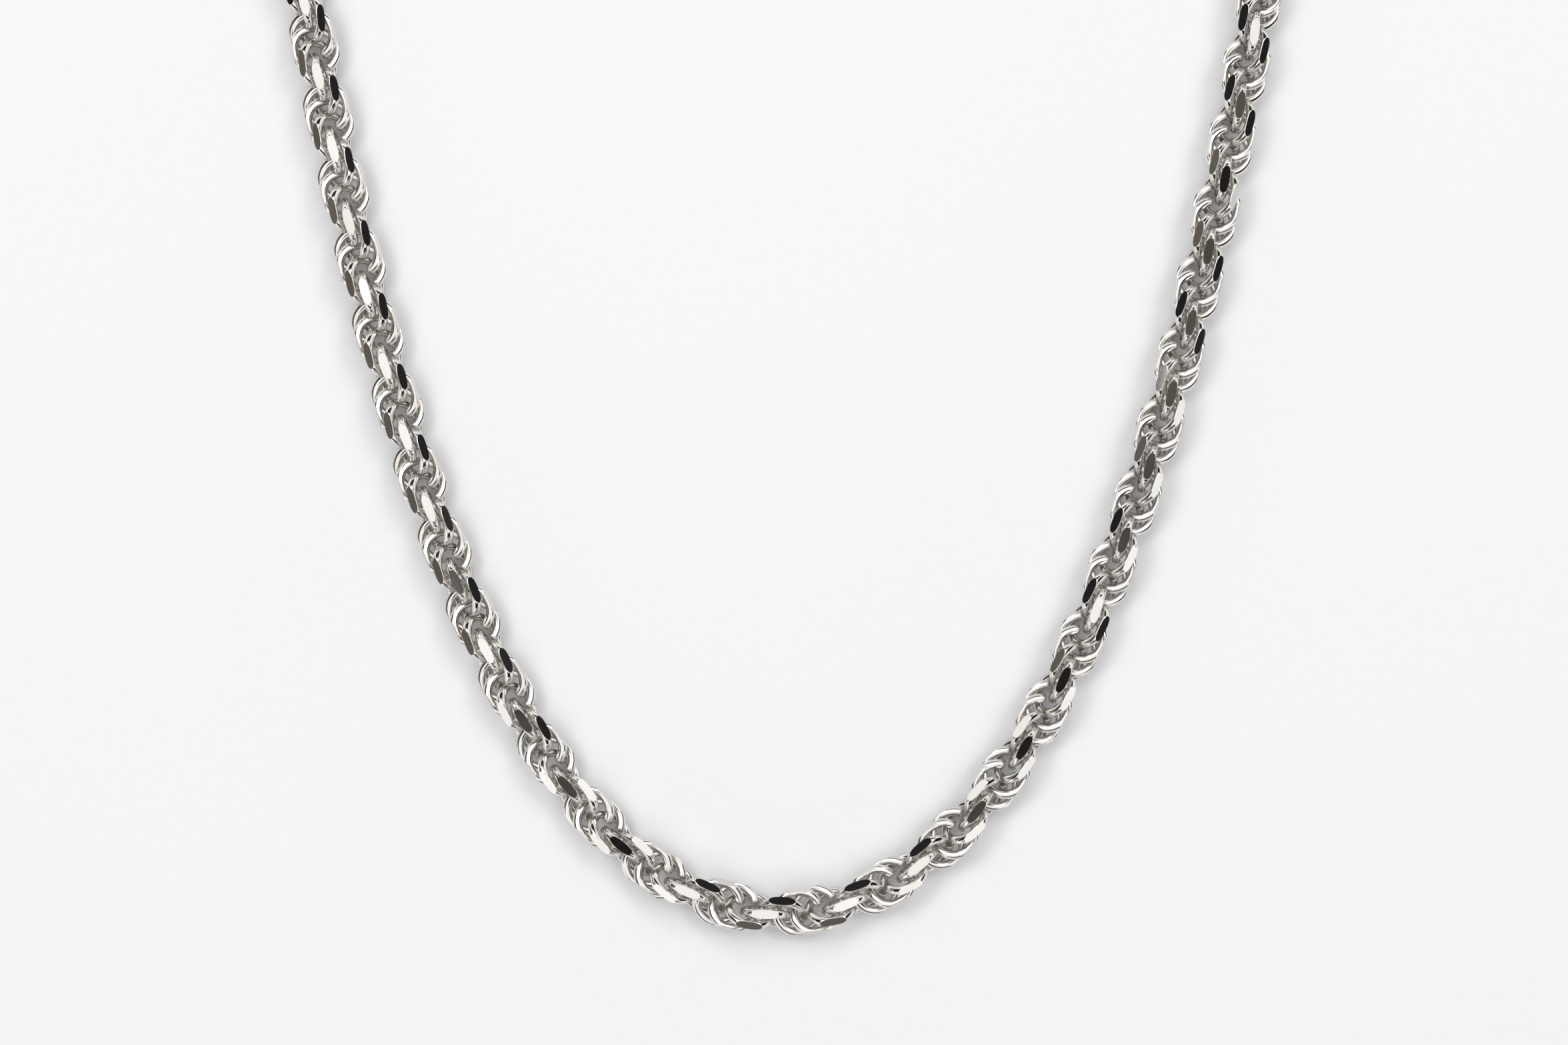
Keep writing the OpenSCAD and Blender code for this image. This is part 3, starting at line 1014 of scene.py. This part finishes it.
@dataclass(frozen=True)
class CutSilver(Finish):
    """Rhodium plated silver wire, drawn, bent to links, soldered, diamond cut and polished.

    Drawing and polishing leave fine streaks along the wire, a cut leaves a mirror, and solder leaves rough
    ends. Pits are 0.1 mm across and faint clouds are 4 mm across. The streaks are drawn 0.04 mm wide,
    coarser than real ones, so that they show.
    """

    cool: str = "#D6D4D2"
    bright: str = "#E2DFDB"
    warm: str = "#D3CBC1"
    solder: str = "#B5AFA8"
    stretch: tuple[float, float, float] = (0.5, 9.0, 1.0)
    streak_scale: float = 3.0
    pit_scale: float = 9000.0
    cloud_scale: float = 260.0
    warmth: tuple[float, float] = (-0.6, 0.9)
    solder_share: float = 0.6
    wire_rough: tuple[float, float] = (0.03, 0.13)
    tone_rough: float = 0.04
    cut_smooth: float = 0.35
    solder_rough: tuple[float, float] = (0.1, 0.42)
    streak_height: tuple[float, float] = (0.25, 0.04)
    bump: float = 0.08
    depth: float = 0.02 * MM

    def shader(self, tree: bpy.types.NodeTree) -> bpy.types.NodeSocket:
        """Reads the wire's own attributes and blends the streaks, the cuts and the solder by them."""
        new = partial(add_node, tree)
        tone = new("ShaderNodeAttribute", attribute_name="tone").outputs["Fac"]
        cut = new("ShaderNodeAttribute", attribute_name="cut").outputs["Fac"]
        solder = new("ShaderNodeAttribute", attribute_name="solder").outputs["Fac"]
        along = new("ShaderNodeUVMap", uv_map="wire").outputs["UV"]
        drawn = new("ShaderNodeVectorMath", {0: along, 1: self.stretch}, operation="MULTIPLY").outputs[0]
        grain = {"Vector": drawn, "Scale": self.streak_scale, "Detail": 4.0}
        streaks = new("ShaderNodeTexNoise", grain).outputs["Fac"]
        place = new("ShaderNodeTexCoord").outputs["Object"]
        grain = {"Vector": place, "Scale": self.pit_scale, "Detail": 3.0, "Roughness": 0.7}
        pits = new("ShaderNodeTexNoise", grain).outputs["Fac"]
        grain = {"Vector": place, "Scale": self.cloud_scale, "Detail": 2.0}
        cloud = new("ShaderNodeTexNoise", grain).outputs["Fac"]

        ends = {"To Min": self.warmth[0], "To Max": self.warmth[1]}
        share = new("ShaderNodeMapRange", {"Value": cloud, **ends}).outputs["Result"]
        tones = {0: tone, 6: paint(self.cool), 7: paint(self.bright)}
        silver = new("ShaderNodeMix", tones, data_type="RGBA").outputs[2]
        tones = {0: share, 6: silver, 7: paint(self.warm)}
        warmed = new("ShaderNodeMix", tones, data_type="RGBA").outputs[2]
        share = new("ShaderNodeMath", {0: solder, 1: self.solder_share}, operation="MULTIPLY").outputs[0]
        tones = {0: share, 6: warmed, 7: paint(self.solder)}
        colour = new("ShaderNodeMix", tones, data_type="RGBA").outputs[2]

        ends = {"To Min": self.wire_rough[0], "To Max": self.wire_rough[1]}
        rough = new("ShaderNodeMapRange", {"Value": streaks, **ends}).outputs["Result"]
        steps = {0: tone, 1: self.tone_rough, 2: rough}
        rough = new("ShaderNodeMath", steps, operation="MULTIPLY_ADD").outputs[0]
        ends = {"To Min": 1.0, "To Max": self.cut_smooth}
        polish = new("ShaderNodeMapRange", {"Value": cut, **ends}).outputs["Result"]
        smooth = new("ShaderNodeMath", {0: rough, 1: polish}, operation="MULTIPLY").outputs[0]
        ends = {"To Min": self.solder_rough[0], "To Max": self.solder_rough[1]}
        pitted = new("ShaderNodeMapRange", {"Value": pits, **ends}).outputs["Result"]
        steps = {0: solder, 1: pitted, 2: smooth}
        rough = new("ShaderNodeMath", steps, operation="MULTIPLY_ADD").outputs[0]

        ends = {"To Min": self.streak_height[0], "To Max": self.streak_height[1]}
        height = new("ShaderNodeMapRange", {"Value": cut, **ends}).outputs["Result"]
        height = new("ShaderNodeMath", {0: streaks, 1: height}, operation="MULTIPLY").outputs[0]
        steps = {0: pits, 1: solder, 2: height}
        height = new("ShaderNodeMath", steps, operation="MULTIPLY_ADD").outputs[0]
        relief = {"Height": height, "Strength": self.bump, "Distance": self.depth}
        normal = new("ShaderNodeBump", relief).outputs["Normal"]
        surface = {"Base Color": colour, "Metallic": 1.0, "Roughness": rough, "Normal": normal}
        return new("ShaderNodeBsdfPrincipled", surface).outputs["BSDF"]


@dataclass(frozen=True)
class Polished(Finish):
    """Buffed or drawn metal, with a faint cloudiness 3 mm across and scratches 0.2 mm apart."""

    low: str
    high: str
    rough: tuple[float, float]
    cloud_scale: float = 300.0
    scratch_scale: float = 4500.0
    bump: float = 0.03
    depth: float = 0.01 * MM

    def shader(self, tree: bpy.types.NodeTree) -> bpy.types.NodeSocket:
        """Lets the clouds change the tone and the gloss, and gives the scratches a little relief."""
        new = partial(add_node, tree)
        place = new("ShaderNodeTexCoord").outputs["Object"]
        grain = {"Vector": place, "Scale": self.cloud_scale, "Detail": 3.0}
        cloud = new("ShaderNodeTexNoise", grain).outputs["Fac"]
        grain = {"Vector": place, "Scale": self.scratch_scale, "Detail": 3.0}
        fine = new("ShaderNodeTexNoise", grain).outputs["Fac"]
        tones = {0: cloud, 6: paint(self.low), 7: paint(self.high)}
        colour = new("ShaderNodeMix", tones, data_type="RGBA").outputs[2]
        ends = {"To Min": self.rough[0], "To Max": self.rough[1]}
        rough = new("ShaderNodeMapRange", {"Value": cloud, **ends}).outputs["Result"]
        relief = {"Height": fine, "Strength": self.bump, "Distance": self.depth}
        normal = new("ShaderNodeBump", relief).outputs["Normal"]
        surface = {"Base Color": colour, "Metallic": 1.0, "Roughness": rough, "Normal": normal}
        return new("ShaderNodeBsdfPrincipled", surface).outputs["BSDF"]


@dataclass(frozen=True)
class Paper(Finish):
    """Matt white paper, with a grain of 1 mm that is barely seen."""

    low: str = "#E8E8E9"
    high: str = "#EBEBEC"
    grain_scale: float = 900.0

    def shader(self, tree: bpy.types.NodeTree) -> bpy.types.NodeSocket:
        """Mixes two near whites by the grain."""
        new = partial(add_node, tree)
        place = new("ShaderNodeTexCoord").outputs["Object"]
        grain = {"Vector": place, "Scale": self.grain_scale, "Detail": 2.0}
        tooth = new("ShaderNodeTexNoise", grain).outputs["Fac"]
        tones = {0: tooth, 6: paint(self.low), 7: paint(self.high)}
        colour = new("ShaderNodeMix", tones, data_type="RGBA").outputs[2]
        surface = {"Base Color": colour, "Roughness": 0.9, "Specular IOR Level": 0.1}
        return new("ShaderNodeBsdfPrincipled", surface).outputs["BSDF"]


@dataclass(frozen=True)
class Card(Finish):
    """Matt card that only shows as dark lines in the metal."""

    colour: str

    def shader(self, tree: bpy.types.NodeTree) -> bpy.types.NodeSocket:
        """One even colour, because the card itself is never seen."""
        surface = {"Base Color": paint(self.colour), "Roughness": 0.9}
        return add_node(tree, "ShaderNodeBsdfPrincipled", surface).outputs["BSDF"]


FINISHES: dict[FinishName, Finish] = {
    FinishName.CHAIN: CutSilver(),
    FinishName.RING: Polished("#DBDAD9", "#E6E4E2", (0.04, 0.12)),
    FinishName.CLASP: Polished("#DAD9D8", "#E5E3E1", (0.06, 0.16)),
    FinishName.STEEL: Polished("#A9A9AA", "#BDBCBA", (0.18, 0.3)),
    FinishName.PAPER: Paper(),
    FinishName.CARD: Card("#141416"),
    FinishName.GREY_CARD: Card("#6E6963"),
}


@dataclass
class Finishes:
    """Makes each finish's material once and hands it out."""

    made: dict[FinishName, bpy.types.Material] = field(default_factory=dict)

    def get(self, name: FinishName) -> bpy.types.Material:
        """The material of a finish.

        Args:
            name: Which finish.

        Returns:
            The material, made on first use.
        """
        if name not in self.made:
            material = bpy.data.materials.new(name.value)
            material.use_nodes = True
            tree = material.node_tree
            tree.nodes.clear()
            add_node(tree, "ShaderNodeOutputMaterial", {"Surface": FINISHES[name].shader(tree)})
            self.made[name] = material
            LOG.info("finish: %s", name.value)
        return self.made[name]


@dataclass(frozen=True)
class Lamp:
    """A soft light: its place from the necklace's middle, its width and its power in watts."""

    name: str
    offset: tuple[float, float, float]
    width: float
    power: float


@dataclass(frozen=True)
class Screen:
    """A card that shows in the metal: its size, its place from the middle of the view and its finish."""

    name: str
    size: tuple[float, float]
    offset: tuple[float, float, float]
    finish: FinishName = FinishName.CARD


LAMPS = (
    Lamp("left softbox", (-0.35, 0.15, 0.7), 0.35, 1.3),
    Lamp("right softbox", (0.4, 0.1, 0.65), 0.3, 0.7),
    Lamp("back softbox", (0.0, 0.45, 0.7), 0.3, 0.6),
)
SCREENS = (
    Screen("card overhead", (0.085, 0.15), (0.01, 0.0, 0.46)),
    Screen("grey card overhead", (0.16, 0.30), (0.03, 0.02, 0.50), FinishName.GREY_CARD),
    Screen("card left", (0.8, 0.3), (-0.55, 0.0, 0.38)),
    Screen("grey card left", (0.7, 0.2), (-0.6, 0.1, 0.12), FinishName.GREY_CARD),
    Screen("card right", (0.8, 0.34), (0.55, 0.0, 0.28)),
    Screen("card front", (0.9, 0.26), (0.0, -0.6, 0.40)),
    Screen("grey card front", (0.7, 0.16), (0.1, -0.62, 0.14), FinishName.GREY_CARD),
    Screen("card back", (0.9, 0.3), (0.0, 0.65, 0.32)),
)


@dataclass
class Studio:
    """The pale surface, the soft light, the cards and the camera.

    Attributes:
        finishes: Where the surface and the cards get their materials.
        middle: Middle of the whole necklace.
        bottom: The chain's axis at the bottom of the U.
    """

    finishes: Finishes
    middle: Vector
    bottom: Vector
    floor_side: float = 4.0
    dome_colour: str = "#F5F5F5"
    dome_strength: float = 1.4
    lamp_aspect: float = 0.7
    view_width: float = 169.2 * MM
    view_x: float = 0.2 * MM
    view_y: float = 42.1 * MM
    cards_y: float = 0.042
    lens_mm: float = 85.0
    sensor_mm: float = 36.0

    def build(self) -> None:
        """Sets the surroundings and the camera."""
        self._floor()
        self._world()
        for lamp in LAMPS:
            self._light(lamp)
        self._cards()
        self._camera()
        view = bpy.context.scene.view_settings
        view.view_transform = "Standard"
        view.look = "None"

    def _plane(
        self, name: str, size: tuple[float, float], at: Vector, towards: Vector, finish: FinishName
    ) -> bpy.types.Object:
        """A flat card that faces a point."""
        w, h = size[0] / 2, size[1] / 2
        turn = (towards - at).to_track_quat("Z", "Y")
        corners = [at + turn @ Vector(c) for c in ((-w, -h, 0), (w, -h, 0), (w, h, 0), (-w, h, 0))]
        mesh = bpy.data.meshes.new(name)
        mesh.from_pydata([tuple(c) for c in corners], [], [(0, 1, 2, 3)])
        mesh.materials.append(self.finishes.get(finish))
        obj = bpy.data.objects.new(name, mesh)
        bpy.context.scene.collection.objects.link(obj)
        obj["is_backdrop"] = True
        return obj

    def _floor(self) -> None:
        """A wide pale surface at the height that the chain rests on."""
        at = Vector((self.middle.x, self.middle.y, 0.0))
        size = (self.floor_side, self.floor_side)
        self._plane("floor", size, at, at + Vector((0, 0, 1)), FinishName.PAPER)

    def _world(self) -> None:
        """A soft light from all round."""
        world = bpy.data.worlds.new("studio")
        world.use_nodes = True
        back = world.node_tree.nodes["Background"]
        back.inputs["Color"].default_value = paint(self.dome_colour)
        back.inputs["Strength"].default_value = self.dome_strength
        bpy.context.scene.world = world

    def _light(self, lamp: Lamp) -> None:
        """A soft light that faces the necklace's middle."""
        data = bpy.data.lights.new(lamp.name, "AREA")
        data.shape = "RECTANGLE"
        data.size = lamp.width
        data.size_y = lamp.width * self.lamp_aspect
        data.energy = lamp.power
        obj = bpy.data.objects.new(lamp.name, data)
        obj.location = self.middle + Vector(lamp.offset)
        obj.rotation_euler = (self.middle - obj.location).to_track_quat("-Z", "Y").to_euler()
        bpy.context.scene.collection.objects.link(obj)

    def _cards(self) -> None:
        """Cards overhead and at the sides, which the camera sees only in the metal."""
        centre = self.bottom + Vector((0, self.cards_y, 0))
        for screen in SCREENS:
            at = centre + Vector(screen.offset)
            card = self._plane(screen.name, screen.size, at, centre, screen.finish)
            card.visible_camera = False

    def _camera(self) -> None:
        """Looks straight down on the bottom of the U."""
        data = bpy.data.cameras.new("camera")
        data.lens = self.lens_mm
        data.sensor_width = self.sensor_mm
        data.clip_start = 0.01
        data.clip_end = 20.0
        camera = bpy.data.objects.new("camera", data)
        away = self.view_width * self.lens_mm / self.sensor_mm
        camera.location = self.bottom + Vector((self.view_x, self.view_y, away))
        bpy.context.scene.collection.objects.link(camera)
        bpy.context.scene.camera = camera


def main() -> None:
    """Builds the necklace and the studio round it."""
    logging.basicConfig(level=logging.INFO)
    finishes = Finishes()
    necklace = Necklace(finishes)
    necklace.build()
    low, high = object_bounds()
    bottom = Vector((-necklace.route.centre[0], -necklace.route.centre[1], LINK.flat_at))
    Studio(finishes, (low + high) / 2, bottom).build()


if __name__ == "__main__":
    main()
